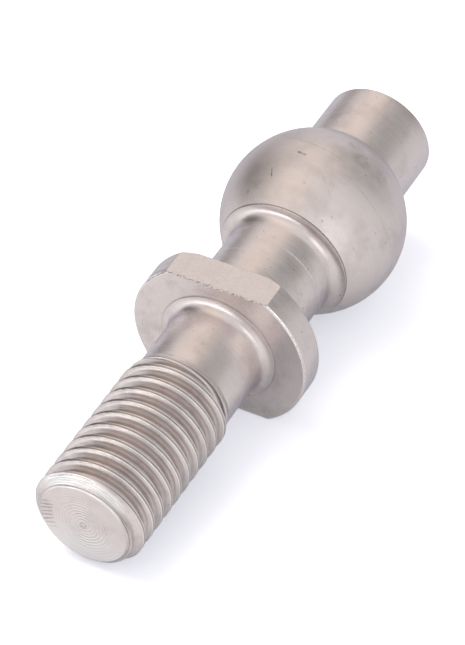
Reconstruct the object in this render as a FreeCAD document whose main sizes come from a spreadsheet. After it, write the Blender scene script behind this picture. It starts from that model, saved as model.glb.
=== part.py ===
"""Ball stud: a turned steel stud with a rolled metric thread, a collar with two wrench flats, a neck
and a spigot, and the bored ball that is pressed onto it.

The frame has its origin at the ball's centre. +Y runs along the stud from the thread towards the
spigot, and +Z is the outward normal of one wrench flat. All sizes are in millimetres.
"""

import FreeCAD, Part
import math
import os
import Sketcher
from FreeCAD import Vector

# Driving sizes. "from_end" is a distance along the axis, measured from the threaded end's face.
DRIVING = {
    "overall_length": 53.05,
    "ball_centre_from_end": 40.15,
    "end_face_dia": 8.35,
    "end_chamfer_length": 0.75,
    "thread_dia": 9.88,
    "thread_root_dia": 8.16,
    "thread_pitch": 1.5,
    "thread_root_flat": 0.19,
    "thread_flank_angle": 30.0,
    "first_groove_from_end": -1.35,
    "thread_turns": 11.5,
    "full_thread_from_end": 15.0,
    "thread_cone_length": 1.3,
    "shank_dia": 8.9,
    "shank_fillet": 0.94,
    "collar_boss_height": 0.12,
    "collar_front_from_end": 22.75,
    "collar_thickness": 3.15,
    "collar_dia": 16.45,
    "collar_front_chamfer": 0.14,
    "collar_rear_chamfer_length": 0.45,
    "collar_rear_chamfer_width": 0.77,
    "across_flats": 13.4,
    "neck_dia": 9.9,
    "neck_root_fillet": 0.5,
    "shoulder_dia": 12.1,
    "shoulder_land": 0.12,
    "ball_dia": 16.4,
    "ball_far_face": 6.0,
    "seat_dia": 10.6,
    "spigot_dia": 10.2,
    "spigot_edge_radius": 0.3,
    "cutter_margin": 0.4,
}

# Sizes worked out from the driving ones. A name ending in "_at" is a place along the stud's axis,
# measured from the threaded end, and one ending in "_radius" is a distance from that axis.
DERIVED = {
    "axis_radius": "=0",
    "end_face_at": "=0",
    "end_face_radius": "=end_face_dia / 2",
    "thread_radius": "=thread_dia / 2",
    "thread_root_radius": "=thread_root_dia / 2",
    "thread_cone_at": "=full_thread_from_end + thread_cone_length",
    "shank_radius": "=shank_dia / 2",
    "boss_at": "=collar_front_from_end - collar_boss_height",
    "shank_fillet_at": "=boss_at - shank_fillet",
    "boss_radius": "=shank_radius + shank_fillet",
    "collar_radius": "=collar_dia / 2",
    "collar_face_radius": "=collar_radius - collar_front_chamfer",
    "collar_rim_start_at": "=collar_front_from_end + collar_front_chamfer",
    "collar_rear_at": "=collar_front_from_end + collar_thickness",
    "collar_rim_end_at": "=collar_rear_at - collar_rear_chamfer_length",
    "collar_rear_radius": "=collar_radius - collar_rear_chamfer_width",
    "neck_radius": "=neck_dia / 2",
    "neck_root_radius": "=neck_radius + neck_root_fillet",
    "neck_root_at": "=collar_rear_at + neck_root_fillet",
    "ball_radius": "=ball_dia / 2",
    "shoulder_radius": "=shoulder_dia / 2",
    "ball_near_face": "=-sqrt(ball_radius * ball_radius - shoulder_radius * shoulder_radius)",
    "ball_far_radius": "=sqrt(ball_radius * ball_radius - ball_far_face * ball_far_face)",
    "shoulder_at": "=ball_centre_from_end + ball_near_face",
    "shoulder_land_at": "=shoulder_at - shoulder_land",
    "flare_fillet": "=shoulder_radius - neck_radius",
    "flare_at": "=shoulder_land_at - flare_fillet",
    "seat_radius": "=seat_dia / 2",
    "seat_end_at": "=ball_centre_from_end + ball_far_face",
    "spigot_radius": "=spigot_dia / 2",
    "spigot_edge_at": "=overall_length - spigot_edge_radius",
    "spigot_face_radius": "=spigot_radius - spigot_edge_radius",
    "flat_height": "=across_flats / 2",
    "flat_cutter_top": "=collar_radius + cutter_margin",
    "flat_cutter_start_at": "=collar_front_from_end - cutter_margin",
    "flat_cutter_end_at": "=collar_rear_at + cutter_margin",
    "groove_top_radius": "=thread_radius + cutter_margin",
    "groove_root_half": "=thread_root_flat / 2",
    "groove_top_half": "=groove_root_half + (groove_top_radius - thread_root_radius)"
    " * tan(thread_flank_angle * 1deg)",
    "groove_root_start_at": "=first_groove_from_end - groove_root_half",
    "groove_root_end_at": "=first_groove_from_end + groove_root_half",
    "groove_top_start_at": "=first_groove_from_end - groove_top_half",
    "groove_top_end_at": "=first_groove_from_end + groove_top_half",
    "thread_groove_length": "=thread_pitch * thread_turns",
    "ball_centre": "=0",
    "stud_offset": "=-ball_centre_from_end",
}

SHEET = "sizes"
FULL_TURN = 360
ORIGIN = -1
START = 1
END = 2


def make_sheet(doc):
    """The spreadsheet: one size per row, its name in column A and as the alias of its value."""
    sheet = doc.addObject("Spreadsheet::Sheet", SHEET)
    for row, (name, value) in enumerate({**DRIVING, **DERIVED}.items(), start=1):
        sheet.set(f"A{row}", name)
        sheet.set(f"B{row}", str(value))
        sheet.setAlias(f"B{row}", name)
    doc.recompute()
    return sheet


def bind(thing, path, name):
    """Ties a property or a sketch constraint to a size in the sheet."""
    thing.setExpression(path, f"<<{SHEET}>>.{name}")


def make_body(doc, name):
    body = doc.addObject("PartDesign::Body", name)
    body.Label = name
    return body


def axis_plane_sketch(body, name):
    """A sketch on the body's own YZ plane: across is along the stud's axis, up is away from it."""
    sketch = body.newObject("Sketcher::SketchObject", name)
    plane = next(item for item in body.Origin.OriginFeatures if item.Role == "YZ_Plane")
    sketch.AttachmentSupport = [(plane, "")]
    sketch.MapMode = "FlatFace"
    return sketch


def draw_edge(sketch, here, there, arc, size):
    """Adds a line or an arc from one corner to the next and gives its number and which end is here."""
    if arc is None:
        return sketch.addGeometry(Part.LineSegment(here, there)), START
    centre = Vector(size(arc["centre"][0]), size(arc["centre"][1]), 0)
    first, last = (there, here) if arc["clockwise"] else (here, there)
    begin = math.atan2(first.y - centre.y, first.x - centre.x)
    finish = math.atan2(last.y - centre.y, last.x - centre.x)
    circle = Part.Circle(centre, Vector(0, 0, 1), size(arc["radius"]))
    edge = sketch.addGeometry(Part.ArcOfCircle(circle, begin, finish))
    return edge, END if arc["clockwise"] else START


def draw_outline(sketch, sheet, corners, arcs=None):
    """Draws a closed outline through the corners, and ties every corner and arc to the sheet.

    A corner is a pair of sheet names, its place along the axis and its distance from the axis. arcs
    gives, for the number of the corner that an arc leaves, the names of its radius and centre.
    """
    arcs = arcs or {}
    points = [Vector(sheet.get(place), sheet.get(height), 0) for place, height in corners]
    edges = []
    for number, point in enumerate(points):
        following = points[(number + 1) % len(points)]
        edges.append(draw_edge(sketch, point, following, arcs.get(number), sheet.get))
    for number, (edge, near_end) in enumerate(edges):
        following, its_near_end = edges[(number + 1) % len(edges)]
        far_end = START + END - near_end
        sketch.addConstraint(Sketcher.Constraint("Coincident", edge, far_end, following, its_near_end))
    for number, (edge, near_end) in enumerate(edges):
        for kind, name in zip(("DistanceX", "DistanceY"), corners[number]):
            rule = Sketcher.Constraint(kind, ORIGIN, START, edge, near_end, sheet.get(name))
            tie_constraint(sketch, rule, name)
    for number, arc in arcs.items():
        rule = Sketcher.Constraint("Radius", edges[number][0], sheet.get(arc["radius"]))
        tie_constraint(sketch, rule, arc["radius"])


def tie_constraint(sketch, rule, name):
    """Adds a constraint and binds its value to a size in the sheet."""
    bind(sketch, f"Constraints[{sketch.addConstraint(rule)}]", name)


def revolve(body, sketch, name):
    """Turns an outline through a full circle about the stud's axis."""
    turned = body.newObject("PartDesign::Revolution", name)
    turned.Profile = sketch
    turned.ReferenceAxis = (sketch, ["H_Axis"])
    turned.Angle = FULL_TURN
    body.Document.recompute()
    return turned


def stud_outline():
    """Half of the stud's lengthwise section, from the threaded end to the spigot."""
    corners = [
        ("end_face_at", "axis_radius"),
        ("end_face_at", "end_face_radius"),
        ("end_chamfer_length", "thread_radius"),
        ("full_thread_from_end", "thread_radius"),
        ("thread_cone_at", "shank_radius"),
        ("shank_fillet_at", "shank_radius"),
        ("boss_at", "boss_radius"),
        ("collar_front_from_end", "boss_radius"),
        ("collar_front_from_end", "collar_face_radius"),
        ("collar_rim_start_at", "collar_radius"),
        ("collar_rim_end_at", "collar_radius"),
        ("collar_rear_at", "collar_rear_radius"),
        ("collar_rear_at", "neck_root_radius"),
        ("neck_root_at", "neck_radius"),
        ("flare_at", "neck_radius"),
        ("shoulder_land_at", "shoulder_radius"),
        ("shoulder_at", "shoulder_radius"),
        ("shoulder_at", "seat_radius"),
        ("seat_end_at", "seat_radius"),
        ("seat_end_at", "spigot_radius"),
        ("spigot_edge_at", "spigot_radius"),
        ("overall_length", "spigot_face_radius"),
        ("overall_length", "axis_radius"),
    ]
    shank_arc = {
        "radius": "shank_fillet",
        "centre": ("shank_fillet_at", "boss_radius"),
        "clockwise": False,
    }
    neck_root_arc = {
        "radius": "neck_root_fillet",
        "centre": ("neck_root_at", "neck_root_radius"),
        "clockwise": False,
    }
    flare_arc = {
        "radius": "flare_fillet",
        "centre": ("flare_at", "shoulder_radius"),
        "clockwise": False,
    }
    spigot_arc = {
        "radius": "spigot_edge_radius",
        "centre": ("spigot_edge_at", "spigot_face_radius"),
        "clockwise": True,
    }
    arcs = {
        corners.index(("shank_fillet_at", "shank_radius")): shank_arc,
        corners.index(("collar_rear_at", "neck_root_radius")): neck_root_arc,
        corners.index(("flare_at", "neck_radius")): flare_arc,
        corners.index(("spigot_edge_at", "spigot_radius")): spigot_arc,
    }
    return corners, arcs


def cut_flats(body, sheet):
    """Mills one wrench flat on the collar above the axis and mirrors it below."""
    sketch = axis_plane_sketch(body, "flat_section")
    corners = [
        ("flat_cutter_start_at", "flat_height"),
        ("flat_cutter_end_at", "flat_height"),
        ("flat_cutter_end_at", "flat_cutter_top"),
        ("flat_cutter_start_at", "flat_cutter_top"),
    ]
    draw_outline(sketch, sheet, corners)
    flat = body.newObject("PartDesign::Pocket", "wrench_flat")
    flat.Profile = sketch
    flat.SideType = "Symmetric"
    bind(flat, "Length", "collar_dia")
    body.Document.recompute()
    pair = body.newObject("PartDesign::Mirrored", "wrench_flat_pair")
    pair.Originals = [flat]
    pair.MirrorPlane = (sketch, ["H_Axis"])
    body.Tip = pair
    body.Document.recompute()
    return pair


def cut_thread(body, sheet):
    """Cuts the right-handed helical groove, from outside the end face to the plain shank."""
    sketch = axis_plane_sketch(body, "groove_section")
    corners = [
        ("groove_root_start_at", "thread_root_radius"),
        ("groove_root_end_at", "thread_root_radius"),
        ("groove_top_end_at", "groove_top_radius"),
        ("groove_top_start_at", "groove_top_radius"),
    ]
    draw_outline(sketch, sheet, corners)
    groove = body.newObject("PartDesign::SubtractiveHelix", "thread_groove")
    groove.Profile = sketch
    groove.ReferenceAxis = (sketch, ["H_Axis"])
    groove.Mode = "pitch-height-angle"
    groove.LeftHanded = False
    groove.Reversed = False
    bind(groove, "Pitch", "thread_pitch")
    bind(groove, "Height", "thread_groove_length")
    body.Document.recompute()
    return groove


def make_stud(doc, sheet):
    """The stud, drawn from its threaded end and then moved so that the ball's centre is at zero."""
    body = make_body(doc, "stud")
    sketch = axis_plane_sketch(body, "stud_section")
    draw_outline(sketch, sheet, *stud_outline())
    blank = revolve(body, sketch, "stud_blank")
    flats = cut_flats(body, sheet)
    thread = cut_thread(body, sheet)
    check_cuts([blank, flats, thread])
    bind(body, "Placement.Base.y", "stud_offset")
    return body


def make_ball(doc, sheet):
    """The ball: a sphere cut off square at both ends, bored to fit the stud's seat."""
    body = make_body(doc, "ball")
    sketch = axis_plane_sketch(body, "ball_section")
    corners = [
        ("ball_near_face", "seat_radius"),
        ("ball_near_face", "shoulder_radius"),
        ("ball_far_face", "ball_far_radius"),
        ("ball_far_face", "seat_radius"),
    ]
    sphere_arc = {"radius": "ball_radius", "centre": ("ball_centre", "axis_radius"), "clockwise": True}
    draw_outline(sketch, sheet, corners, {corners.index(("ball_near_face", "shoulder_radius")): sphere_arc})
    revolve(body, sketch, "ball_ring")
    return body


def check_cuts(features):
    """Stops the build when a cut in the chain has removed nothing."""
    for before, after in zip(features, features[1:]):
        if after.Shape.Volume >= before.Shape.Volume:
            raise RuntimeError(f"{after.Name} cuts nothing")


def check_document(doc, bodies):
    """Stops the build on a failed feature or on a sub-part with no sound shape."""
    for item in doc.Objects:
        if "Invalid" in item.State or "Error" in item.State:
            raise RuntimeError(f"{item.Name} is {item.State}")
    for body in bodies:
        if body.Shape.isNull() or not body.Shape.isValid():
            raise RuntimeError(f"{body.Label} has no sound shape")


def main():
    doc = FreeCAD.newDocument("ball_stud")
    sheet = make_sheet(doc)
    bodies = [make_stud(doc, sheet), make_ball(doc, sheet)]
    doc.recompute()
    check_document(doc, bodies)
    os.makedirs("parts", exist_ok=True)
    for body in bodies:
        body.Shape.exportStep(f"parts/{body.Label}.step")


main()
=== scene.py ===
"""Looks for the ball stud: finely turned satin steel, lying on a pale floor under soft studio light.

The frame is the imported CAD's: origin at the ball's centre, +Y from the thread towards the spigot, +Z the
outward normal of a wrench flat. Sizes below are millimetres; "at" means a place along the stud's
axis, measured from its threaded end.
"""

import math
from collections import namedtuple

import bmesh
import bpy
import numpy as np
from mathutils import Matrix, Vector


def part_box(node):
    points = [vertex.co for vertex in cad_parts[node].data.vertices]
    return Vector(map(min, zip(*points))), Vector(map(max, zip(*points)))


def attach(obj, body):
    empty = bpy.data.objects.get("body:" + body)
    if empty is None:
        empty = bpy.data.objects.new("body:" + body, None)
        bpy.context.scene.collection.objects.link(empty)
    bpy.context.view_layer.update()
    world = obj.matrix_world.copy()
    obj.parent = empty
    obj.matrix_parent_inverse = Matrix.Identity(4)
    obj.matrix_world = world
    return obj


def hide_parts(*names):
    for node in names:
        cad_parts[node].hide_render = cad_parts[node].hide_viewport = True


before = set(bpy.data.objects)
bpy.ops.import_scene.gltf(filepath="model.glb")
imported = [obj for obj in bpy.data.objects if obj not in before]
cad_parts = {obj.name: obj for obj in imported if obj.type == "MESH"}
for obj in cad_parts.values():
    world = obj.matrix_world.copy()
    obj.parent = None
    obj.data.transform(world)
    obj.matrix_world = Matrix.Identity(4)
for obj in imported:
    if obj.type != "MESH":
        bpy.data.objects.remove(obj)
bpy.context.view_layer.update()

MM = 0.001

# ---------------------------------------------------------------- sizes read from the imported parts
STUD_LOW, STUD_HIGH = (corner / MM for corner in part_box("stud"))
BALL_LOW, BALL_HIGH = (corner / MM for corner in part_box("ball"))
END_Y = STUD_LOW.y
LENGTH = STUD_HIGH.y - STUD_LOW.y
COLLAR_RADIUS = STUD_HIGH.x
FLAT_HEIGHT = STUD_HIGH.z
BALL_RADIUS = BALL_HIGH.z
BALL_AT = -END_Y
SHOULDER_AT = BALL_AT + BALL_LOW.y
SHOULDER_RADIUS = math.sqrt(BALL_RADIUS**2 - BALL_LOW.y**2)
SEAT_END_AT = BALL_AT + BALL_HIGH.y
BALL_FAR_RADIUS = math.sqrt(BALL_RADIUS**2 - BALL_HIGH.y**2)

# ---------------------------------------------------------------- sizes that match the CAD model
END_CHAMFER_AT = 0.75
THREAD_RADIUS = 4.94
THREAD_ROOT_RADIUS = 4.08
THREAD_PITCH = 1.5
THREAD_ROOT_HALF = 0.095
THREAD_HALF_ANGLE = math.radians(30)
FIRST_GROOVE_AT = -1.35
FULL_THREAD_AT = 15.0
THREAD_CONE_AT = 16.3
SHANK_RADIUS = 4.45
SHANK_FILLET = 0.94
FILLET_RADIUS = SHANK_RADIUS + SHANK_FILLET
BOSS_HEIGHT = 0.12
COLLAR_FRONT_AT = 22.75
COLLAR_REAR_AT = 25.9
FRONT_CHAMFER = 0.14
REAR_CHAMFER_LENGTH = 0.45
REAR_CHAMFER_WIDTH = 0.77
NECK_RADIUS = 4.95
NECK_ROOT_FILLET = 0.5
SHOULDER_LAND = 0.12
SEAT_RADIUS = 5.3
SPIGOT_RADIUS = 5.1
SPIGOT_EDGE = 0.3

# ---------------------------------------------------------------- fine shapes that the CAD model leaves plain
# the end face's stepped rim, which takes the place of a plain chamfer
END_FACE_RADIUS = 3.95
END_RIM_AT = 0.12
END_RIM_RADIUS = 4.15
END_NOTCH_AT = 0.2
END_NOTCH_RADIUS = 4.11
END_BAND_AT = 0.26
END_BAND_RADIUS = 4.25
# the thread's soft edges, the seam along its crest and its run-out
ROOT_ROUNDING = 0.06
CREST_ROUNDING = 0.025
CREST_SEAM_DEPTH = 0.05
CREST_SEAM_HALF = 0.05
SEAM_START_EASE = 0.5
SEAM_END_EASE = 0.8
RUN_OUT_EASE = 0.3
RUN_OUT_CLEARANCE = 0.1
# the roundings of the stud's edges
END_FACE_ROUNDING = 0.1
END_RIM_ROUNDING = 0.03
END_BAND_ROUNDING = 0.05
RUN_OUT_ROUNDING = 0.3
BOSS_ROUNDING = 0.02
COLLAR_FRONT_ROUNDING = 0.04
COLLAR_REAR_OUTER_ROUNDING = 0.4
COLLAR_REAR_INNER_ROUNDING = 0.06
LAND_ROUNDING = 0.02
FILLET_SHARE = 0.98  # of the room that a full fillet has, so that its ends never meet a neighbour
EDGE_BREAK = 0.05

# ---------------------------------------------------------------- mesh fineness
AROUND = 180
THREAD_STEP = 0.04
BALL_STEPS = 120
PLAIN_STEP = 0.4
ARC_STEP = math.radians(8)
STRAIGHT = math.pi - 0.01  # a corner that opens wider than this is left as it is
LENGTH_TOLERANCE = 1e-6
SHARP_ANGLE = math.radians(28)
MERGE_DISTANCE = 1e-7  # metres
# how far past a named place a face or point still counts as inside it
ROOT_MARGIN = 0.3
COLLAR_MARGIN = 0.02
END_FACE_MARGIN = 0.01
THREAD_END_MARGIN = 0.2


def rounded(corners):
    """A polyline through (at, radius, rounding) corners with each corner turned into an arc."""
    points = [Vector(corners[0][:2])]
    for before, here, after in zip(corners, corners[1:], corners[2:]):
        spot = Vector(here[:2])
        back = (Vector(before[:2]) - spot).normalized()
        ahead = (Vector(after[:2]) - spot).normalized()
        opening = math.acos(max(-1.0, min(1.0, back.dot(ahead))))
        if here[2] == 0 or opening > STRAIGHT:
            points.append(spot)
            continue
        reach = here[2] / math.tan(opening / 2)
        centre = spot + (back + ahead).normalized() * here[2] / math.sin(opening / 2)
        first = spot + back * reach - centre
        last = spot + ahead * reach - centre
        sweep = math.atan2(first.x * last.y - first.y * last.x, first.dot(last))
        steps = max(2, math.ceil(abs(sweep) / ARC_STEP))
        for step in range(steps + 1):
            turn = Matrix.Rotation(sweep * step / steps, 2)
            points.append(centre + turn @ first)
    points.append(Vector(corners[-1][:2]))
    return points


def subdivided(points, step_at):
    """Adds points so that no stretch is longer than the step wanted where it lies."""
    out = [points[0]]
    for start, stop in zip(points, points[1:]):
        length = (stop - start).length
        count = max(1, math.ceil(length / step_at((start.x + stop.x) / 2) - LENGTH_TOLERANCE))
        out += [start.lerp(stop, (number + 1) / count) for number in range(count)]
    return np.array([tuple(point) for point in out])


def stud_step(at):
    """The longest stretch wanted at a place along the stud."""
    return THREAD_STEP if at < THREAD_CONE_AT + THREAD_PITCH / 2 else PLAIN_STEP


def stud_profile():
    """Half of the stud's lengthwise section, with every edge slightly broken."""
    boss_at = COLLAR_FRONT_AT - BOSS_HEIGHT
    flare = SHOULDER_RADIUS - NECK_RADIUS
    land_at = SHOULDER_AT - SHOULDER_LAND
    corners = [
        (0.0, 0.0, 0.0),
        (0.0, END_FACE_RADIUS, END_FACE_ROUNDING),
        (END_RIM_AT, END_RIM_RADIUS, END_RIM_ROUNDING),
        (END_NOTCH_AT, END_NOTCH_RADIUS, 0.0),
        (END_BAND_AT, END_BAND_RADIUS, 0.0),
        (END_CHAMFER_AT, THREAD_RADIUS, END_BAND_ROUNDING),
        (FULL_THREAD_AT, THREAD_RADIUS, RUN_OUT_ROUNDING),
        (THREAD_CONE_AT, SHANK_RADIUS, RUN_OUT_ROUNDING),
        (boss_at, SHANK_RADIUS, SHANK_FILLET * FILLET_SHARE),
        (boss_at, FILLET_RADIUS, BOSS_ROUNDING),
        (COLLAR_FRONT_AT, FILLET_RADIUS, BOSS_ROUNDING),
        (COLLAR_FRONT_AT, COLLAR_RADIUS - FRONT_CHAMFER, COLLAR_FRONT_ROUNDING),
        (COLLAR_FRONT_AT + FRONT_CHAMFER, COLLAR_RADIUS, COLLAR_FRONT_ROUNDING),
        (COLLAR_REAR_AT - REAR_CHAMFER_LENGTH, COLLAR_RADIUS, COLLAR_REAR_OUTER_ROUNDING),
        (COLLAR_REAR_AT, COLLAR_RADIUS - REAR_CHAMFER_WIDTH, COLLAR_REAR_INNER_ROUNDING),
        (COLLAR_REAR_AT, NECK_RADIUS, NECK_ROOT_FILLET),
        (land_at, NECK_RADIUS, flare * FILLET_SHARE),
        (land_at, SHOULDER_RADIUS, LAND_ROUNDING),
        (SHOULDER_AT, SHOULDER_RADIUS, 0.0),
        (SHOULDER_AT, SEAT_RADIUS, 0.0),
        (SEAT_END_AT, SEAT_RADIUS, 0.0),
        (SEAT_END_AT, SPIGOT_RADIUS, 0.0),
        (LENGTH, SPIGOT_RADIUS, SPIGOT_EDGE),
        (LENGTH, 0.0, 0.0),
    ]
    return subdivided(rounded(corners), stud_step)


def smooth_max(a, b, width):
    """The larger of two values, rounded where they cross."""
    return (a + b + np.sqrt((a - b) ** 2 + width**2)) / 2


def smooth_min(a, b, width):
    """The smaller of two values, rounded where they cross."""
    return -smooth_max(-a, -b, width)


def smooth_step(low, high, value):
    """Rises smoothly from 0 below a range to 1 above it."""
    part = np.clip((value - low) / (high - low), 0, 1)
    return part * part * (3 - 2 * part)


def thread_radius(at, angle):
    """Radius of the rolled thread's groove surface at a place along and around the stud."""
    turns = (at - FIRST_GROOVE_AT) / THREAD_PITCH - angle / (2 * math.pi)
    groove = np.round(turns)
    offset = np.abs(turns - groove) * THREAD_PITCH
    groove_at = FIRST_GROOVE_AT + THREAD_PITCH * (groove + angle / (2 * math.pi))
    fade = smooth_step(FULL_THREAD_AT - RUN_OUT_EASE, THREAD_CONE_AT + RUN_OUT_EASE, groove_at)
    root = THREAD_ROOT_RADIUS + fade * (SHANK_RADIUS + RUN_OUT_CLEARANCE - THREAD_ROOT_RADIUS)
    flank = root + (offset - THREAD_ROOT_HALF) / math.tan(THREAD_HALF_ANGLE)
    return smooth_max(root, flank, ROOT_ROUNDING)


def crest_seam(at, angle):
    """Depth of the fine seam that rolling leaves along the middle of the thread's crest."""
    turns = (at - FIRST_GROOVE_AT) / THREAD_PITCH - angle / (2 * math.pi)
    from_crest = (turns - np.floor(turns) - 0.5) * THREAD_PITCH
    threaded = smooth_step(END_CHAMFER_AT, END_CHAMFER_AT + SEAM_START_EASE, at)
    threaded *= 1 - smooth_step(FULL_THREAD_AT - SEAM_END_EASE, FULL_THREAD_AT, at)
    return CREST_SEAM_DEPTH * threaded * np.exp(-((from_crest / CREST_SEAM_HALF) ** 2))


def revolved(name, profile, reshape=None):
    """A mesh that turns a profile about the stud's axis; reshape may change each point's radius."""
    angle = np.arange(AROUND) * 2 * math.pi / AROUND
    at = np.repeat(profile[:, :1], AROUND, axis=1)
    radius = np.repeat(profile[:, 1:], AROUND, axis=1)
    around = np.repeat(angle[None, :], len(profile), axis=0)
    if reshape is not None:
        radius = reshape(at, radius, around)
    points = np.stack([radius * np.sin(around), at + END_Y, radius * np.cos(around)], axis=-1)
    rows, columns = np.meshgrid(np.arange(len(profile) - 1), np.arange(AROUND), indexing="ij")
    following = (columns + 1) % AROUND
    corners = [rows * AROUND + columns, (rows + 1) * AROUND + columns]
    corners += [(rows + 1) * AROUND + following, rows * AROUND + following]
    faces = np.stack(corners, axis=-1).reshape(-1, 4)
    mesh = bpy.data.meshes.new(name)
    mesh.from_pydata((points.reshape(-1, 3) * MM).tolist(), [], faces.tolist())
    return mesh


def cut_thread(at, radius, angle):
    """Sinks the thread's groove into the blank, and leaves the rest of the stud round."""
    blank = radius - crest_seam(at, angle)
    grooved = smooth_min(blank, thread_radius(at, angle), CREST_ROUNDING)
    inside = (at < THREAD_CONE_AT + THREAD_PITCH / 2) & (radius > THREAD_ROOT_RADIUS - ROOT_MARGIN)
    return np.where(inside, grooved, radius)


def mill_flats(cells):
    """Cuts the collar off flat above and below, and closes the cuts."""
    for side in (1, -1):
        faces = [face for face in cells.faces if on_collar(face)]
        # dictionaries keep their order, which sets do not, so the mesh is the same each run
        edges = dict.fromkeys(edge for face in faces for edge in face.edges)
        corners = dict.fromkeys(corner for face in faces for corner in face.verts)
        cut = bmesh.ops.bisect_plane(
            cells,
            geom=[*corners, *edges, *faces],
            dist=MERGE_DISTANCE,
            plane_co=(0, 0, side * FLAT_HEIGHT * MM),
            plane_no=(0, 0, side),
            clear_outer=True,
        )
        rim = [item for item in cut["geom_cut"] if isinstance(item, bmesh.types.BMEdge)]
        cap = bmesh.ops.contextual_create(cells, geom=rim)["faces"]
        for face in cap:
            face.material_index = FLAT_SLOT


def on_collar(face):
    """Whether a face lies between the collar's front and rear faces, or on one of them."""
    at = face.calc_center_median().y / MM - END_Y
    return COLLAR_FRONT_AT - COLLAR_MARGIN < at < COLLAR_REAR_AT + COLLAR_MARGIN


def finish_mesh(cells, mesh):
    """Merges the points on the axis, smooths the faces and keeps the true edges sharp."""
    bmesh.ops.remove_doubles(cells, verts=cells.verts, dist=MERGE_DISTANCE)
    bmesh.ops.recalc_face_normals(cells, faces=cells.faces)
    for face in cells.faces:
        face.smooth = True
    for edge in cells.edges:
        if edge.is_manifold and edge.calc_face_angle() > SHARP_ANGLE:
            edge.smooth = False
    cells.to_mesh(mesh)
    cells.free()


BODY_SLOT, THREAD_SLOT, FACE_SLOT, FLAT_SLOT = range(4)


def slot_at(at):
    """The material slot of a face of the stud at a place along it."""
    if at < END_FACE_MARGIN:
        return FACE_SLOT
    if at < THREAD_CONE_AT + THREAD_END_MARGIN:
        return THREAD_SLOT
    return BODY_SLOT


def build_stud(materials):
    """The stud: the turned bar with its thread and its two wrench flats."""
    mesh = revolved("stud_visual", stud_profile(), cut_thread)
    cells = bmesh.new()
    cells.from_mesh(mesh)
    for face in cells.faces:
        face.material_index = slot_at(face.calc_center_median().y / MM - END_Y)
    mill_flats(cells)
    finish_mesh(cells, mesh)
    for material in materials:
        mesh.materials.append(material)
    stud = bpy.data.objects.new("stud_visual", mesh)
    bpy.context.collection.objects.link(stud)
    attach(stud, "root")
    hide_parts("stud")
    return stud


def ball_profile():
    """The ball's section: face, sphere, far face and bore, as a closed loop."""
    near = math.atan2(SHOULDER_RADIUS, BALL_LOW.y)
    far = math.atan2(BALL_FAR_RADIUS, BALL_HIGH.y)
    arc = []
    for step in range(BALL_STEPS + 1):
        turn = near + (far - near) * step / BALL_STEPS
        rounding = EDGE_BREAK if step in (0, BALL_STEPS) else 0.0
        arc.append((BALL_AT + BALL_RADIUS * math.cos(turn), BALL_RADIUS * math.sin(turn), rounding))
    corners = [(SHOULDER_AT, SEAT_RADIUS, 0.0), *arc]
    corners += [(SEAT_END_AT, SEAT_RADIUS, 0.0), (SHOULDER_AT, SEAT_RADIUS, 0.0)]
    return subdivided(rounded(corners), lambda at: PLAIN_STEP)


def build_ball(material):
    """The ball: a turned ring on the stud's seat."""
    mesh = revolved("ball_visual", ball_profile())
    cells = bmesh.new()
    cells.from_mesh(mesh)
    finish_mesh(cells, mesh)
    mesh.materials.append(material)
    ball = bpy.data.objects.new("ball_visual", mesh)
    bpy.context.collection.objects.link(ball)
    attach(ball, "root")
    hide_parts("ball")
    return ball


# ---------------------------------------------------------------- colors
STEEL_LIGHT = (0.765, 0.702, 0.682, 1.0)
STEEL_DARK = (0.47, 0.42, 0.40, 1.0)
# dark grime in pits, chips, nicks, scratches and tears; also the colour of painted shade in corners, crest
# seams, behind the thread's run-out and in the ball's crease
GRIME_AND_SHADE = (0.13, 0.10, 0.085, 1.0)
# bright clean metal on the flats' burr flakes and the neck's burr; also the colour of painted highlights and
# glints
FRESH_CUT_AND_HIGHLIGHT = (0.93, 0.92, 0.91, 1.0)
FLAT_TINT = (0.96, 0.90, 0.88, 1.0)
RIM_TINT = (0.82, 0.84, 0.93, 1.0)
PAPER_SEEN = (0.92, 0.915, 0.965, 1.0)
# the paper as the steel mirrors it: painted shade, darker towards the back
PAPER_NEAR = (0.72, 0.725, 0.74, 1.0)
PAPER_FAR = (0.54, 0.545, 0.565, 1.0)
PAPER_GLOW = (0.86, 0.915, 1.0, 1.0)
WHITE = (1.0, 1.0, 1.0, 1.0)


# ---------------------------------------------------------------- materials
Place = namedtuple("Place", "across along up radius sine cosine")
NODE_SAMPLES = 4
SMALLEST_SQUARE = 1e-6  # keeps the radius off zero on the axis
# painted shade in the steel's closest corners: how far it looks for metal, and how dark it goes
CREVICE_REACH = 0.2
CREVICE_SHADE = 0.9


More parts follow.
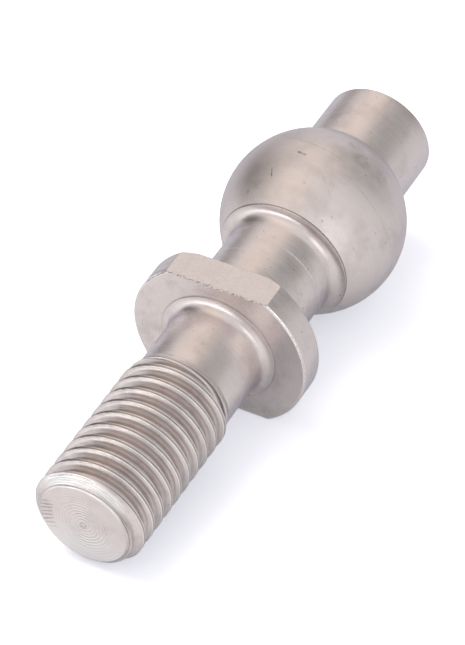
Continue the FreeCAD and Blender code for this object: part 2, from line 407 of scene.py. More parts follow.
class Graph:
    """A material's node tree, with short calls for the nodes that the steels use."""

    def __init__(self, name):
        self.material = bpy.data.materials.new(name)
        self.material.use_nodes = True
        self.tree = self.material.node_tree
        self.tree.nodes.clear()
        self.output = self.tree.nodes.new("ShaderNodeOutputMaterial")
        self.shader = self.tree.nodes.new("ShaderNodeBsdfPrincipled")
        self.tree.links.new(self.shader.outputs[0], self.output.inputs[0])

    def put(self, socket, value):
        """Feeds a socket from another node's output or with a plain value."""
        if isinstance(value, bpy.types.NodeSocket):
            self.tree.links.new(value, socket)
        elif value is not None:
            socket.default_value = value

    def math(self, kind, first, second=None, third=None):
        node = self.tree.nodes.new("ShaderNodeMath")
        node.operation = kind
        for socket, value in zip(node.inputs, (first, second, third)):
            self.put(socket, value)
        return node.outputs[0]

    def product(self, *values):
        out = values[0]
        for value in values[1:]:
            out = self.math("MULTIPLY", out, value)
        return out

    def total(self, *values):
        out = values[0]
        for value in values[1:]:
            out = self.math("ADD", out, value)
        return out

    def without(self, value):
        """1 where a value is 0, and 0 where it is 1."""
        return self.math("SUBTRACT", 1.0, value)

    def apart(self, value, middle):
        """How far a value is from a middle, to either side."""
        return self.math("ABSOLUTE", self.math("SUBTRACT", value, middle))

    def vector(self, across, along, up):
        node = self.tree.nodes.new("ShaderNodeCombineXYZ")
        for socket, value in zip(node.inputs, (across, along, up)):
            self.put(socket, value)
        return node.outputs[0]

    def place(self):
        """Across, along from the threaded end, up, radius, and the angle's sine and cosine."""
        coordinates = self.tree.nodes.new("ShaderNodeTexCoord").outputs["Object"]
        split = self.tree.nodes.new("ShaderNodeSeparateXYZ")
        self.put(split.inputs[0], coordinates)
        across = self.math("DIVIDE", split.outputs[0], MM)
        along = self.math("SUBTRACT", self.math("DIVIDE", split.outputs[1], MM), END_Y)
        up = self.math("DIVIDE", split.outputs[2], MM)
        squares = self.total(self.product(across, across), self.product(up, up))
        radius = self.math("SQRT", self.math("MAXIMUM", squares, SMALLEST_SQUARE))
        sine = self.math("DIVIDE", across, radius)
        cosine = self.math("DIVIDE", up, radius)
        return Place(across, along, up, radius, sine, cosine)

    def spot(self, where, origin=0.0):
        """A place as one vector; its length runs from the threaded end, plus an origin."""
        along = self.math("ADD", where.along, origin) if origin else where.along
        return self.vector(where.across, along, where.up)

    def away(self, spot, middle):
        """How far a spot is from a middle, in millimetres."""
        node = self.tree.nodes.new("ShaderNodeVectorMath")
        node.operation = "DISTANCE"
        self.put(node.inputs[0], spot)
        node.inputs[1].default_value = middle
        return node.outputs["Value"]

    def beyond(self, spot, middle, normal):
        """How far a spot is to either side of a plane, in millimetres."""
        level = Vector(middle).dot(Vector(normal).normalized())
        node = self.tree.nodes.new("ShaderNodeVectorMath")
        node.operation = "DOT_PRODUCT"
        self.put(node.inputs[0], spot)
        node.inputs[1].default_value = Vector(normal).normalized()
        return self.apart(node.outputs["Value"], level)

    def noise(self, spot, scale, detail=2.0, roughness=0.5):
        node = self.tree.nodes.new("ShaderNodeTexNoise")
        self.put(node.inputs["Vector"], spot)
        node.inputs["Scale"].default_value = scale
        node.inputs["Detail"].default_value = detail
        node.inputs["Roughness"].default_value = roughness
        return node.outputs[0]

    def ticks(self, value, pitch):
        """A smooth wave between 0 and 1 that repeats along a value."""
        turn = self.math("MULTIPLY", value, 2 * math.pi / pitch)
        return self.math("MULTIPLY_ADD", self.math("SINE", turn), 0.5, 0.5)

    def spread(self, value, low, high, out_low, out_high):
        """Maps a value from one range to another, clamped and smoothly."""
        node = self.tree.nodes.new("ShaderNodeMapRange")
        node.interpolation_type = "SMOOTHSTEP"
        for socket, number in zip(node.inputs, (value, low, high, out_low, out_high)):
            self.put(socket, number)
        return node.outputs[0]

    def rise(self, value, low, high):
        """0 below a range and 1 above it."""
        return self.spread(value, low, high, 0.0, 1.0)

    def fall(self, value, low, high):
        """1 below a range and 0 above it."""
        return self.spread(value, low, high, 1.0, 0.0)

    def stripe(self, value, middle, core, edge):
        """1 within a core distance of a middle, fading to 0 at an edge distance."""
        return self.fall(self.apart(value, middle), core, edge)

    def mix(self, factor, first, second):
        """Blends two colors."""
        node = self.tree.nodes.new("ShaderNodeMix")
        node.data_type = "RGBA"
        self.put(node.inputs[0], factor)
        self.put(node.inputs[6], first)
        self.put(node.inputs[7], second)
        return node.outputs[2]

    def blend(self, factor, first, second):
        """Blends two plain numbers."""
        node = self.tree.nodes.new("ShaderNodeMix")
        self.put(node.inputs[0], factor)
        self.put(node.inputs[2], first)
        self.put(node.inputs[3], second)
        return node.outputs[0]

    def bump(self, height, distance, normal=None):
        node = self.tree.nodes.new("ShaderNodeBump")
        node.inputs["Distance"].default_value = distance * MM
        self.put(node.inputs["Height"], height)
        self.put(node.inputs["Normal"], normal)
        return node.outputs[0]

    def soft_edges(self, width):
        """Normals that round the true edges, as a light deburr does."""
        node = self.tree.nodes.new("ShaderNodeBevel")
        node.samples = NODE_SAMPLES
        node.inputs["Radius"].default_value = width * MM
        return node.outputs[0]

    def crevice_shade(self, reach):
        """1 in corners that face other metal closely, fading to 0 on open surfaces."""
        node = self.tree.nodes.new("ShaderNodeAmbientOcclusion")
        node.samples = NODE_SAMPLES
        node.inputs["Distance"].default_value = reach * MM
        return self.fall(node.outputs["AO"], 0.3, 0.95)

    def scratch(self, spot, middle, normal, length, width):
        """1 along a fine straight mark through a middle, square to a normal."""
        line = self.fall(self.beyond(spot, middle, normal), 0.3 * width, width)
        return self.product(line, self.fall(self.away(spot, middle), 0.5 * length, length))

    def steel(self, color, roughness, normal, anisotropic=0.0):
        """Finishes the material as bare steel, with painted shade darkening its closest corners."""
        color = self.mix(self.product(self.crevice_shade(CREVICE_REACH), CREVICE_SHADE), color, GRIME_AND_SHADE)
        self.put(self.shader.inputs["Base Color"], color)
        self.put(self.shader.inputs["Roughness"], roughness)
        self.put(self.shader.inputs["Normal"], normal)
        self.shader.inputs["Metallic"].default_value = 1.0
        self.shader.inputs["Specular Tint"].default_value = RIM_TINT
        if anisotropic:
            tangent = self.tree.nodes.new("ShaderNodeTangent")
            tangent.direction_type = "RADIAL"
            tangent.axis = "Y"
            self.put(self.shader.inputs["Tangent"], tangent.outputs[0])
            self.put(self.shader.inputs["Anisotropic"], anisotropic)
        return self.material


RING_WANDER = 0.35  # how much a tool line changes on its way round


def turning_lines(graph, where, fineness):
    """Tool lines round the axis: they follow the length on a cylinder and the radius on a face."""
    travel = graph.math("MULTIPLY", graph.total(where.along, where.radius), fineness)
    sine = graph.math("MULTIPLY", where.sine, RING_WANDER)
    cosine = graph.math("MULTIPLY", where.cosine, RING_WANDER)
    return graph.noise(graph.vector(sine, travel, cosine), 1.0, 3.0, 0.75)


def worn_color(graph, where, stain_scale, stain):
    """Clean steel with soft stains and a few small dark pits."""
    spot = graph.spot(where)
    stains = graph.spread(graph.noise(spot, stain_scale, 4.0, 0.6), 0.42, 0.75, 0.0, stain)
    pits = graph.spread(graph.noise(spot, 2.6, 1.0), 0.74, 0.8, 0.0, 0.45)
    color = graph.mix(stains, STEEL_LIGHT, STEEL_DARK)
    return graph.mix(pits, color, GRIME_AND_SHADE)


# ---------------------------------------------------------------- the stud's plain turned stretches
# a pair of sizes is where something starts to fade and where the fade ends
TURNED_FINENESS = 7.0  # tool lines for each millimetre
TURNED_RELIEF = 0.008
TURNED_EDGES = 0.025
TURNED_ROUGHNESS = (0.26, 0.34)
SPIN_SHEEN = 0.3  # how far the highlights stretch across the tool lines
FEED_PITCH = 0.19
FACE_TO_CYLINDER = (0.02, 0.1)  # from the collar's front face
NECK_WITNESS_AT = 29.95
NECK_WITNESS_LINE = (0.03, 0.1)
BURR_ARC_AT = 31.6
BURR_ARC_LINE = (0.04, 0.12)
RIM_BLEND = 0.04
RIM_FADE = 0.08
SPLIT_AT = 0.6 * FRONT_CHAMFER  # behind the collar's front face
SPLIT_LINE = (0.01, 0.04)
TEAR_LEFT = (-7.0, -6.4)  # across: where the torn corner fades in
TEAR_RIGHT = (-5.0, -4.6)  # across: where it fades out
TEAR_LOW = (3.0, 4.0)  # up: where it fades in
TEAR_DEPTH = (0.5, 0.6)  # behind the front face: where it fades out
TEAR_PITCH = 0.17
TORN_FILLET_REACH = (0.1, 0.6)  # from the collar's front face
TORN_FILLET_RIM = (FILLET_RADIUS - 0.1, FILLET_RADIUS + 0.1)  # radius


def neck_witness_highlight(graph, where):
    """A witness ring where two cuts meet on the neck, brightened as a painted highlight that is clearest on
    its left.
    """
    ring = graph.stripe(where.along, NECK_WITNESS_AT, *NECK_WITNESS_LINE)
    on_neck = graph.rise(where.along, COLLAR_REAR_AT, COLLAR_REAR_AT + 1.0)
    return graph.product(ring, graph.spread(where.sine, -0.9, 0.2, 1.0, 0.1), on_neck)


def neck_burr(graph, where, grain):
    """A short bright arc of burr on the neck, on its upper right."""
    upper_right = graph.product(graph.total(where.sine, where.cosine), math.sqrt(0.5))
    ring = graph.stripe(where.along, BURR_ARC_AT, *BURR_ARC_LINE)
    return graph.product(ring, graph.rise(upper_right, 0.9, 0.96), graph.spread(grain, 0.4, 0.55, 0.2, 1.0))


def front_chamfer_band(graph, where, front):
    """The chamfer along the collar's front edge, which handling has rubbed smooth; its brightness is a
    painted highlight.
    """
    inner = COLLAR_RADIUS - FRONT_CHAMFER
    outward = graph.rise(where.radius, inner - RIM_BLEND, inner)
    return graph.product(outward, graph.fall(front, FRONT_CHAMFER, FRONT_CHAMFER + RIM_FADE))


def rim_split(graph, front, grain):
    """A thin dark line along the front chamfer, broken up by the grain."""
    line = graph.stripe(front, SPLIT_AT, *SPLIT_LINE)
    return graph.product(line, graph.spread(grain, 0.45, 0.6, 0.0, 0.8))


def corner_tears(graph, where, front, grain):
    """Dark torn lines by the left end of the upper wrench flat, just behind the front face."""
    corner = graph.product(graph.rise(where.across, *TEAR_LEFT), graph.fall(where.across, *TEAR_RIGHT))
    corner = graph.product(corner, graph.rise(where.up, *TEAR_LOW), graph.fall(front, *TEAR_DEPTH))
    lines = graph.rise(graph.ticks(front, TEAR_PITCH), 0.5, 0.8)
    return graph.product(corner, lines, graph.spread(grain, 0.35, 0.55, 0.3, 0.8))


def torn_fillet(graph, where, front, grain):
    """Rough torn grain in the shank's fillet, on its right."""
    close = graph.product(graph.fall(front, *TORN_FILLET_REACH), graph.rise(where.sine, 0.1, 0.6))
    return graph.product(close, graph.fall(where.radius, *TORN_FILLET_RIM), grain)


def turned_steel():
    """Plain turned stretches: fine tool lines and feed marks, a witness ring with a painted highlight and a
    burr on the neck, and a painted highlight on the front chamfer.
    """
    graph = Graph("turned_steel")
    where = graph.place()
    lines = turning_lines(graph, where, TURNED_FINENESS)
    grain = graph.noise(graph.spot(where), 5.0, 3.0, 0.7)
    front = graph.apart(where.along, COLLAR_FRONT_AT)
    on_cylinder = graph.rise(front, *FACE_TO_CYLINDER)
    on_shank = graph.spread(where.along, COLLAR_FRONT_AT, COLLAR_FRONT_AT + 0.5, 1.0, 0.1)
    on_spigot = graph.rise(where.along, BALL_AT, SEAT_END_AT)
    cut = graph.product(on_cylinder, graph.without(graph.product(on_spigot, 0.75)))
    burr = neck_burr(graph, where, grain)
    rim = front_chamfer_band(graph, where, front)
    color = worn_color(graph, where, 0.5, 0.4)
    color = graph.mix(graph.product(graph.spread(lines, 0.3, 0.6, 0.05, 0.0), cut), color, STEEL_DARK)
    # painted highlight on the neck's witness ring
    color = graph.mix(graph.product(neck_witness_highlight(graph, where), 0.45), color, FRESH_CUT_AND_HIGHLIGHT)
    color = graph.mix(graph.product(burr, 0.8), color, FRESH_CUT_AND_HIGHLIGHT)
    # painted highlight on the front chamfer, strongest on top
    color = graph.mix(graph.product(rim, graph.spread(where.cosine, 0.2, 0.7, 0.3, 0.9)), color, FRESH_CUT_AND_HIGHLIGHT)
    color = graph.mix(graph.product(rim, rim_split(graph, front, grain)), color, STEEL_DARK)
    color = graph.mix(corner_tears(graph, where, front, grain), color, GRIME_AND_SHADE)
    line_depth = graph.spread(where.along, COLLAR_FRONT_AT, COLLAR_REAR_AT, 0.35, 0.18)
    feed = graph.ticks(graph.total(where.along, where.radius), FEED_PITCH)
    feed = graph.product(feed, on_shank, on_cylinder, 0.25)
    height = graph.total(graph.product(lines, cut, line_depth), feed)
    height = graph.total(height, graph.product(burr, 2.0), graph.product(grain, 0.35))
    height = graph.total(height, graph.product(torn_fillet(graph, where, front, grain), 2.0))
    normal = graph.bump(height, TURNED_RELIEF, graph.soft_edges(TURNED_EDGES))
    roughness = graph.spread(lines, 0.3, 0.7, *TURNED_ROUGHNESS)
    roughness = graph.math("SUBTRACT", roughness, graph.product(rim, 0.08))
    return graph.steel(color, roughness, normal, SPIN_SHEEN)


# ---------------------------------------------------------------- the stud's thread
THREAD_FINENESS = 6.0  # tool lines for each millimetre
THREAD_RELIEF = 0.025
THREAD_ROUGHNESS = (0.27, 0.36)  # on the crest and down the flank
CREST_HALF = 0.16
CREST_TO_FLANK = (CREST_HALF, CREST_HALF + 0.15)
CREST_RIM_LINE = (0.01, 0.045)
SEAM_LINE = (0.02, 0.06)
STRIATION_PITCH = 0.23
ROOT_SHADE_RADII = (THREAD_ROOT_RADIUS, THREAD_RADIUS - 0.3)  # radius: where the painted shade in the thread's roots fades out
CHAMFER_END = (END_CHAMFER_AT - 0.05, END_CHAMFER_AT + 0.1)
THREAD_START = (END_CHAMFER_AT, 1.2)
THREAD_END = (THREAD_CONE_AT - 0.6, THREAD_CONE_AT)
RUN_OUT_EDGE_AT = 15.5
RUN_OUT_EDGE_LINE = (0.02, 0.06)
RUN_OUT_SHADE_AT = RUN_OUT_EDGE_AT + 0.14
RUN_OUT_SHADE_LINE = (0.03, 0.07)


def crest_distance(graph, where):
    """How far along the stud a place is from the middle of the nearest crest, with its sign."""
    turn = graph.math("DIVIDE", graph.math("ARCTAN2", where.sine, where.cosine), 2 * math.pi)
    travel = graph.math("DIVIDE", graph.math("SUBTRACT", where.along, FIRST_GROOVE_AT), THREAD_PITCH)
    turns = graph.math("FRACT", graph.math("SUBTRACT", travel, turn))
    return graph.math("MULTIPLY", graph.math("SUBTRACT", turns, 0.5), THREAD_PITCH)


def crest_rim_highlights(graph, where, flank, threaded):
    """The two edges of each crest, brightened as a painted highlight, most of all on the right."""
    rims = graph.product(graph.stripe(flank, CREST_HALF, *CREST_RIM_LINE), threaded)
    return graph.product(rims, graph.spread(where.sine, -0.4, 0.3, 0.25, 1.0))


def flank_lines(graph, where, from_crest):
    """Fine lines that follow the thread."""
    across = graph.math("MULTIPLY", from_crest, 5.5)
    along = graph.math("MULTIPLY", where.along, 0.8)
    return graph.noise(graph.vector(across, along, where.sine), 1.0, 4.0, 0.75)


def thread_steel():
    """Rolled thread: a seam along each crest darkened as painted shade, striations down the flanks, painted
    shade in the roots and behind the run-out, and painted highlights on the crest edges, the end chamfer and
    the run-out edge.
    """
    graph = Graph("thread_steel")
    where = graph.place()
    from_crest = crest_distance(graph, where)
    flank = graph.math("ABSOLUTE", from_crest)
    lines = flank_lines(graph, where, from_crest)
    combed = graph.product(graph.ticks(from_crest, STRIATION_PITCH), graph.spread(lines, 0.3, 0.6, 0.2, 1.0))
    rings = turning_lines(graph, where, THREAD_FINENESS)
    chips = graph.noise(graph.spot(where), 2.2, 3.0, 0.7)
    threaded = graph.product(graph.fall(where.along, *THREAD_END), graph.rise(where.along, *THREAD_START))
    combed = graph.product(combed, threaded)
    seam = graph.product(graph.fall(flank, *SEAM_LINE), graph.spread(chips, 0.35, 0.6, 0.6, 1.0), threaded)
    chamfer = graph.fall(where.along, *CHAMFER_END)
    chamfer_highlight = graph.product(graph.rise(where.cosine, 0.3, 0.9), graph.spread(rings, 0.42, 0.58, 0.3, 1.0))
    edge = graph.stripe(where.along, RUN_OUT_EDGE_AT, *RUN_OUT_EDGE_LINE)
    shade = graph.stripe(where.along, RUN_OUT_SHADE_AT, *RUN_OUT_SHADE_LINE)
    root_shade = graph.fall(where.radius, *ROOT_SHADE_RADII)
    bright = graph.math("MAXIMUM", crest_rim_highlights(graph, where, flank, threaded), edge)
    color = worn_color(graph, where, 0.9, 0.45)
    color = graph.mix(graph.spread(lines, 0.42, 0.54, 0.3, 0.0), color, STEEL_DARK)
    color = graph.mix(graph.product(combed, 0.45), color, STEEL_DARK)
    # painted shade towards the thread's roots
    color = graph.mix(graph.product(root_shade, 0.25), color, STEEL_DARK)
    # painted highlight on the end chamfer, brightest on top
    color = graph.mix(graph.product(chamfer, chamfer_highlight), color, FRESH_CUT_AND_HIGHLIGHT)
    # painted highlights on the crest edges and on the run-out edge
    color = graph.mix(graph.product(bright, 0.9), color, FRESH_CUT_AND_HIGHLIGHT)
    # painted shade in the crest seams, broken up by the chips, and just behind the run-out edge
    color = graph.mix(graph.product(seam, 0.6), color, GRIME_AND_SHADE)
    color = graph.mix(graph.product(shade, 0.6), color, GRIME_AND_SHADE)
    color = graph.mix(graph.spread(chips, 0.72, 0.78, 0.0, 0.7), color, GRIME_AND_SHADE)
    height = graph.total(lines, graph.product(combed, -0.8), graph.product(chamfer, rings, 3.0))
    height = graph.total(height, graph.product(chips, 0.6))
    height = graph.total(height, graph.product(edge, 1.2), graph.product(shade, -1.5))
    roughness = graph.spread(flank, *CREST_TO_FLANK, *THREAD_ROUGHNESS)
    roughness = graph.math("SUBTRACT", roughness, graph.product(chamfer, 0.1))
    roughness = graph.total(roughness, graph.product(lines, 0.06))
    return graph.steel(color, roughness, graph.bump(height, THREAD_RELIEF), SPIN_SHEEN)


# ---------------------------------------------------------------- the stud's threaded end face
FACED_FINENESS = 6.0  # tool lines for each millimetre
FACED_RELIEF = 0.022
FACED_EDGES = 0.05
FACED_ROUGHNESS = 0.36
FACING_PITCH = 0.3
FACING_FADE = (1.8, 3.4)  # radius
PIP_RADIUS = 0.24
PIP_LINE = (0.03, 0.12)
CHATTER_MIDDLE = (-3.3, END_Y, -0.1)
CHATTER_REACH = (0.9, 1.9)
CHATTER_INNER = (2.8, 3.1)  # radius: where the chatter fades in
CHATTER_PITCH = 0.42


def chatter_ticks(graph, where):
    """Short parallel marks near the left edge of the face."""
    spot = graph.spot(where, END_Y)
    near = graph.fall(graph.away(spot, CHATTER_MIDDLE), *CHATTER_REACH)
    sway = graph.math("MULTIPLY_ADD", graph.noise(spot, 1.5), 0.3, graph.product(where.radius, 0.35))
    marks = graph.rise(graph.ticks(graph.total(where.up, sway), CHATTER_PITCH), 0.65, 0.92)
    return graph.product(near, graph.rise(where.radius, *CHATTER_INNER), marks)


def faced_steel():
    """The threaded end's face: concentric facing rings, a small pip, chatter near one edge, and a painted
    highlight that lightens it towards the bottom.
    """
    graph = Graph("faced_steel")
    where = graph.place()
    lines = turning_lines(graph, where, FACED_FINENESS)
    feed = graph.ticks(where.radius, FACING_PITCH)
    feed = graph.product(feed, graph.spread(where.radius, *FACING_FADE, 1.0, 0.3))
    pip = graph.stripe(where.radius, PIP_RADIUS, *PIP_LINE)
    chatter = chatter_ticks(graph, where)
    color = worn_color(graph, where, 0.8, 0.3)
    # painted highlight: the face is lightened towards the bottom
    color = graph.mix(graph.spread(where.up, -3.5, 1.0, 0.8, 0.0), color, FRESH_CUT_AND_HIGHLIGHT)
    color = graph.mix(graph.product(chatter, 0.35), color, GRIME_AND_SHADE)
    color = graph.mix(graph.product(graph.without(feed), 0.2), color, STEEL_DARK)
    color = graph.mix(graph.product(pip, 0.6), color, STEEL_DARK)
    height = graph.total(lines, graph.product(feed, 1.5), graph.product(pip, 1.8))
    height = graph.total(height, graph.product(chatter, -2.5))
    normal = graph.bump(height, FACED_RELIEF, graph.soft_edges(FACED_EDGES))
    return graph.steel(color, FACED_ROUGHNESS, normal)


# ---------------------------------------------------------------- the stud's wrench flats
MILLED_RELIEF = 0.05
MILLED_EDGES = 0.06
MILLED_ROUGHNESS = 0.46
BURR_WANDER = 1.6  # how far the ragged burr's edge comes and goes
BURR_EDGE = (0.02, 0.14)  # behind the collar's front face


def milled_steel():
    """The wrench flats: a matte, finely grained cut with ragged burrs along its front edge."""
    graph = Graph("milled_steel")
    where = graph.place()
    spot = graph.spot(where)
    grain = graph.noise(spot, 4.0, 4.0, 0.75)
    edge = graph.math("SUBTRACT", where.along, COLLAR_FRONT_AT)
    ragged = graph.math("MULTIPLY_ADD", graph.noise(spot, 2.4, 4.0, 0.7), BURR_WANDER, -BURR_WANDER / 2)
    burr = graph.fall(graph.total(edge, ragged), *BURR_EDGE)
    flake = graph.product(burr, graph.rise(graph.noise(spot, 4.5, 3.0, 0.7), 0.46, 0.52))
    nick = graph.product(burr, graph.without(flake))
    color = graph.mix(0.4, worn_color(graph, where, 0.6, 0.3), FLAT_TINT)
    color = graph.mix(graph.spread(grain, 0.35, 0.55, 0.16, 0.0), color, STEEL_DARK)
    color = graph.mix(graph.product(nick, 0.75), color, GRIME_AND_SHADE)
    color = graph.mix(graph.product(flake, 0.8), color, FRESH_CUT_AND_HIGHLIGHT)
    height = graph.total(grain, graph.product(nick, -1.0), flake)
    normal = graph.bump(height, MILLED_RELIEF, graph.soft_edges(MILLED_EDGES))
    return graph.steel(color, MILLED_ROUGHNESS, normal)


# ---------------------------------------------------------------- the ball
BALL_FINENESS = 6.0  # tool lines for each millimetre
BALL_RELIEF = 0.007
BALL_EDGES = 0.05
BALL_ROUGHNESS = (0.4, 0.48)
BALL_SHEEN = 0.2  # how far the highlights stretch across the tool lines
# middle of each soft smudge and small mark on the ball, its reach and its strength
BALL_SMUDGES = [
    ((3.8, 2.1, 7.0), 1.3, 0.6),
    ((5.6, 2.2, 5.6), 1.2, 0.5),
    ((2.6, 3.4, 7.0), 1.1, 0.45),
    ((-3.9, -4.6, 5.7), 0.3, 0.8),
    ((1.0, -3.2, 7.5), 0.25, 0.5),
    ((6.2, -4.4, 3.0), 0.2, 0.6),
]
# middle, direction across the mark, length, width and strength of each fine scratch on the ball
BALL_SCRATCHES = [
    ((-0.6, -0.6, 8.2), (0.15, 0.95, -0.1), 0.55, 0.17, 0.9),
    ((-2.3, -3.0, 7.2), (0.9, 0.4, 0.3), 0.6, 0.1, 0.8),
    ((2.6, -2.4, 7.4), (0.6, 0.75, -0.1), 1.8, 0.04, 0.3),
    ((6.5, -1.0, 4.9), (0.25, 0.95, 0.1), 4.5, 0.05, 0.3),
    ((0.5, 0.8, 8.1), (0.1, 0.98, 0.1), 3.5, 0.05, 0.35),
]
CREASE_WIDTH = (0.02, 0.08)  # from the shoulder: where the painted shade in the crease fades out
GLINT_REACH = (0.3, 1.6)  # from the shoulder: where the small glints fade out


def smudged(graph, spot, rough, color):
    """Adds the soft smudges to the ball's color."""
    for middle, reach, strength in BALL_SMUDGES:
        patch = graph.spread(graph.away(spot, middle), 0.3 * reach, reach, strength, 0.0)
        color = graph.mix(graph.product(patch, graph.spread(rough, 0.35, 0.6, 0.3, 1.0)), color, STEEL_DARK)
    return color


def scratched(graph, spot, rough, color, height):
    """Adds the fine scratches to the ball's color and height."""
    for middle, normal, length, width, strength in BALL_SCRATCHES:
        mark = graph.product(graph.scratch(spot, middle, normal, length, width), strength)
        color = graph.mix(graph.product(mark, graph.spread(rough, 0.4, 0.6, 0.3, 0.9)), color, GRIME_AND_SHADE)
        height = graph.total(height, graph.product(mark, -1.5))
    return color, height


def ball_steel():
    """The ball: satin, with faint turning arcs, soft smudges, a few fine scratches, painted shade in its
    crease by the shoulder and small painted glints near it.
    """
    graph = Graph("ball_steel")
    where = graph.place()
    spot = graph.spot(where, END_Y)
    lines = turning_lines(graph, where._replace(radius=0.0), BALL_FINENESS)
    rough = graph.noise(spot, 1.4, 5.0, 0.7)
    from_shoulder = graph.math("SUBTRACT", where.along, SHOULDER_AT)
    glints = graph.rise(graph.noise(spot, 6.0, 1.0), 0.65, 0.71)
    glints = graph.product(glints, graph.fall(from_shoulder, *GLINT_REACH))
    color = worn_color(graph, where, 0.35, 0.4)
    color = graph.mix(graph.spread(lines, 0.3, 0.55, 0.08, 0.0), color, STEEL_DARK)
    color = smudged(graph, spot, rough, color)
    height = graph.total(graph.product(lines, 0.5), graph.product(rough, 1.6))
    color, height = scratched(graph, spot, rough, color, height)
    # painted shade in the crease along the shoulder
    color = graph.mix(graph.spread(from_shoulder, *CREASE_WIDTH, 0.8, 0.0), color, GRIME_AND_SHADE)
    color = graph.mix(graph.product(glints, 0.8), color, FRESH_CUT_AND_HIGHLIGHT)
    height = graph.total(height, graph.product(glints, 2.5))
    normal = graph.bump(height, BALL_RELIEF, graph.soft_edges(BALL_EDGES))
    return graph.steel(color, graph.spread(rough, 0.3, 0.7, *BALL_ROUGHNESS), normal, BALL_SHEEN)


# ---------------------------------------------------------------- how the stud lies on the floor
THREAD_REST_AT = END_CHAMFER_AT
REST_SPAN = BALL_AT - THREAD_REST_AT
TOUCH_ANGLE = math.asin(BALL_RADIUS / math.hypot(REST_SPAN, THREAD_RADIUS))
FLOOR_TILT = TOUCH_ANGLE - math.atan2(THREAD_RADIUS, REST_SPAN)
FLOOR_UP = Vector((0, math.sin(FLOOR_TILT), math.cos(FLOOR_TILT)))
FLOOR_ALONG = Vector((0, math.cos(FLOOR_TILT), -math.sin(FLOOR_TILT)))
FLOOR_ACROSS = Vector((1, 0, 0))

# ---------------------------------------------------------------- the camera's place
SIGHT_AZIMUTH = math.radians(28.1)
SIGHT_ELEVATION = math.radians(40.1)
SIGHT_ROLL = math.radians(0.42)
SIGHT_DISTANCE = 297.2
SIGHT_AIM = Vector((-0.22, -14.45, 0.13))
LENS = 195.3
SENSOR_WIDTH = 36.0
CLIP_START = 0.001  # metres


def studio_direction(azimuth, elevation):
    """A unit vector from the stud towards a place in the studio."""
    level = FLOOR_ACROSS * math.sin(azimuth) - FLOOR_ALONG * math.cos(azimuth)
    return level * math.cos(elevation) + FLOOR_UP * math.sin(elevation)


def aim(item, spot, target, roll=0.0):
    """Puts a lamp or camera at a spot, looking at a target; roll tips it off level."""
    backward = (spot - target).normalized()
    right = FLOOR_UP.cross(backward).normalized()
    right = Matrix.Rotation(roll, 3, backward) @ right
    over = backward.cross(right)
    turn = Matrix((right, over, backward)).transposed().to_4x4()
    item.matrix_world = Matrix.Translation(spot * MM) @ turn


# ---------------------------------------------------------------- floor
FLOOR_REACH = 4000.0
PAPER_FADE = (-10.0, 50.0)  # along: where the paper that the steel mirrors turns from near to far
FRONT_GLOW_ALONG = (-45.0, -5.0)  # along: where the glow in front of the stud fades out
FRONT_GLOW_ACROSS = (-15.0, 10.0)  # across: where it fades out
PAPER_ROUGHNESS = 0.9
PAPER_GLOW_STRENGTH = 0.4
PAPER_FRONT_STRENGTH = 0.65
PAPER_LIFT_STRENGTH = 0.16


def floor_paper():
    """White paper: even where the camera sees it, shaded where the steel mirrors it, clear from below."""
    graph = Graph("floor_paper")
    where = graph.place()
    seen = graph.tree.nodes.new("ShaderNodeLightPath").outputs["Is Camera Ray"]
    under = graph.tree.nodes.new("ShaderNodeNewGeometry").outputs["Backfacing"]
    mirrored = graph.mix(graph.rise(where.along, *PAPER_FADE), PAPER_NEAR, PAPER_FAR)
    front = graph.spread(where.along, *FRONT_GLOW_ALONG, PAPER_FRONT_STRENGTH, 0.0)
    front = graph.product(front, graph.spread(where.across, *FRONT_GLOW_ACROSS, 1.0, 0.1))
    glow = graph.blend(seen, graph.total(front, PAPER_LIFT_STRENGTH), PAPER_GLOW_STRENGTH)
    graph.put(graph.shader.inputs["Base Color"], graph.mix(seen, mirrored, PAPER_SEEN))
    graph.put(graph.shader.inputs["Roughness"], PAPER_ROUGHNESS)
    graph.put(graph.shader.inputs["Emission Color"], PAPER_GLOW)
    graph.put(graph.shader.inputs["Emission Strength"], glow)
    clear = graph.tree.nodes.new("ShaderNodeBsdfTransparent").outputs[0]
    choice = graph.tree.nodes.new("ShaderNodeMixShader")
    for socket, value in zip(choice.inputs, (graph.product(under, seen), graph.shader.outputs[0], clear)):
        graph.put(socket, value)
    graph.put(graph.output.inputs[0], choice.outputs[0])
    return graph.material


def add_floor():
    """One wide sheet that the ball and the thread's crest rest on."""
    mesh = bpy.data.meshes.new("floor")
    base = -BALL_RADIUS * FLOOR_UP
    sides = [(-1, -1), (1, -1), (1, 1), (-1, 1)]
    corners = [(base + FLOOR_REACH * (FLOOR_ACROSS * i + FLOOR_ALONG * j)) * MM for i, j in sides]
    mesh.from_pydata([tuple(corner) for corner in corners], [], [(0, 1, 2, 3)])
    mesh.materials.append(floor_paper())
    floor = bpy.data.objects.new("floor", mesh)
    bpy.context.collection.objects.link(floor)


# ---------------------------------------------------------------- lights and camera
KEY_AZIMUTH = math.radians(-95)
KEY_ELEVATION = math.radians(58)
KEY_DISTANCE = 330
KEY_SIZE = 300
KEY_POWER = 0.6
KEY_COLOR = (1.0, 0.98, 0.95)


def add_key_light():
    """The softbox that casts the shadow; the steel does not mirror it."""
    lamp = bpy.data.lights.new("key", "AREA")
    lamp.shape = "RECTANGLE"
    lamp.size = KEY_SIZE * MM
    lamp.size_y = KEY_SIZE * MM
    lamp.energy = KEY_POWER
    lamp.color = KEY_COLOR
    item = bpy.data.objects.new("key", lamp)
    bpy.context.collection.objects.link(item)
    direction = studio_direction(KEY_AZIMUTH, KEY_ELEVATION)
    aim(item, SIGHT_AIM + direction * KEY_DISTANCE, SIGHT_AIM)
    item.visible_glossy = False


STUDIO_BASE = (0.82, 0.81, 0.82)
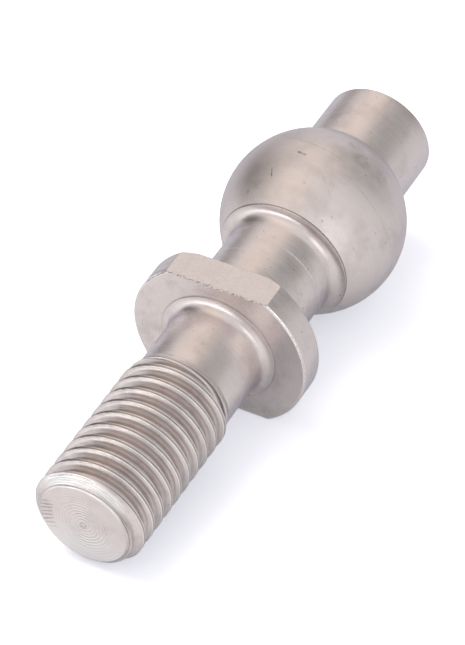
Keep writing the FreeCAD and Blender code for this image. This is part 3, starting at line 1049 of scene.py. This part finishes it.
# what, azimuth, elevation and reach in degrees, and color of each soft patch; later ones cover earlier ones
STUDIO_PATCHES = [
    ("warm overhead panel", -46, 62, 36, (1.12, 1.0, 0.9)),
    ("warm rear panel", -160, 55, 40, (0.97, 0.87, 0.81)),
    ("front window", -20, 0, 23, (2.9, 2.88, 2.86)),
    ("right window", 53, 20, 22, (1.65, 1.63, 1.61)),
    ("gap between the windows", 18, -4, 24, (0.42, 0.4, 0.39)),
    ("dim left rear wall", -134, 4, 24, (0.5, 0.48, 0.47)),
    ("dark left wall", -94, 13, 43, (0.15, 0.14, 0.135)),
    ("dim rear wall", 152, 29, 38, (0.38, 0.385, 0.38)),
]


def studio_patch(tree, sight, patch, behind):
    """Paints one soft round patch of the studio over the color behind it."""
    name, azimuth, elevation, reach, tint = patch
    toward = tree.nodes.new("ShaderNodeVectorMath")
    toward.operation = "DOT_PRODUCT"
    toward.inputs[1].default_value = studio_direction(math.radians(azimuth), math.radians(elevation))
    tree.links.new(sight, toward.inputs[0])
    share = tree.nodes.new("ShaderNodeMapRange")
    share.label = name
    share.interpolation_type = "SMOOTHSTEP"
    share.inputs["From Min"].default_value = math.cos(math.radians(reach))
    tree.links.new(toward.outputs["Value"], share.inputs["Value"])
    blend = color_blend(tree, share.outputs[0], behind)
    blend.inputs[7].default_value = (*tint, 1.0)
    return blend.outputs[2]


def color_blend(tree, factor, first):
    """A node that blends away from a first color, given as another node's output or a plain value."""
    blend = tree.nodes.new("ShaderNodeMix")
    blend.data_type = "RGBA"
    tree.links.new(factor, blend.inputs[0])
    if isinstance(first, bpy.types.NodeSocket):
        tree.links.new(first, blend.inputs[6])
    else:
        blend.inputs[6].default_value = first
    return blend


def add_world():
    """A soft white studio: an even surround with a few brighter and darker walls in it."""
    world = bpy.data.worlds.new("studio")
    bpy.context.scene.world = world
    world.use_nodes = True
    tree = world.node_tree
    sight = tree.nodes.new("ShaderNodeTexCoord").outputs["Generated"]
    color = (*STUDIO_BASE, 1.0)
    for patch in STUDIO_PATCHES:
        color = studio_patch(tree, sight, patch, color)
    seen = tree.nodes.new("ShaderNodeLightPath").outputs["Is Camera Ray"]
    backdrop = color_blend(tree, seen, color)
    backdrop.inputs[7].default_value = WHITE
    tree.links.new(backdrop.outputs[2], tree.nodes["Background"].inputs["Color"])


def add_camera():
    """A long lens, above and in front of the threaded end."""
    lens = bpy.data.cameras.new("sight")
    lens.lens = LENS
    lens.sensor_width = SENSOR_WIDTH
    lens.sensor_fit = "AUTO"
    lens.clip_start = CLIP_START
    item = bpy.data.objects.new("sight", lens)
    bpy.context.collection.objects.link(item)
    direction = studio_direction(SIGHT_AZIMUTH, SIGHT_ELEVATION)
    aim(item, SIGHT_AIM + direction * SIGHT_DISTANCE, SIGHT_AIM, SIGHT_ROLL)
    bpy.context.scene.camera = item


build_stud([turned_steel(), thread_steel(), faced_steel(), milled_steel()])
build_ball(ball_steel())
add_floor()
add_world()
add_key_light()
add_camera()
bpy.context.scene.view_settings.view_transform = "Standard"
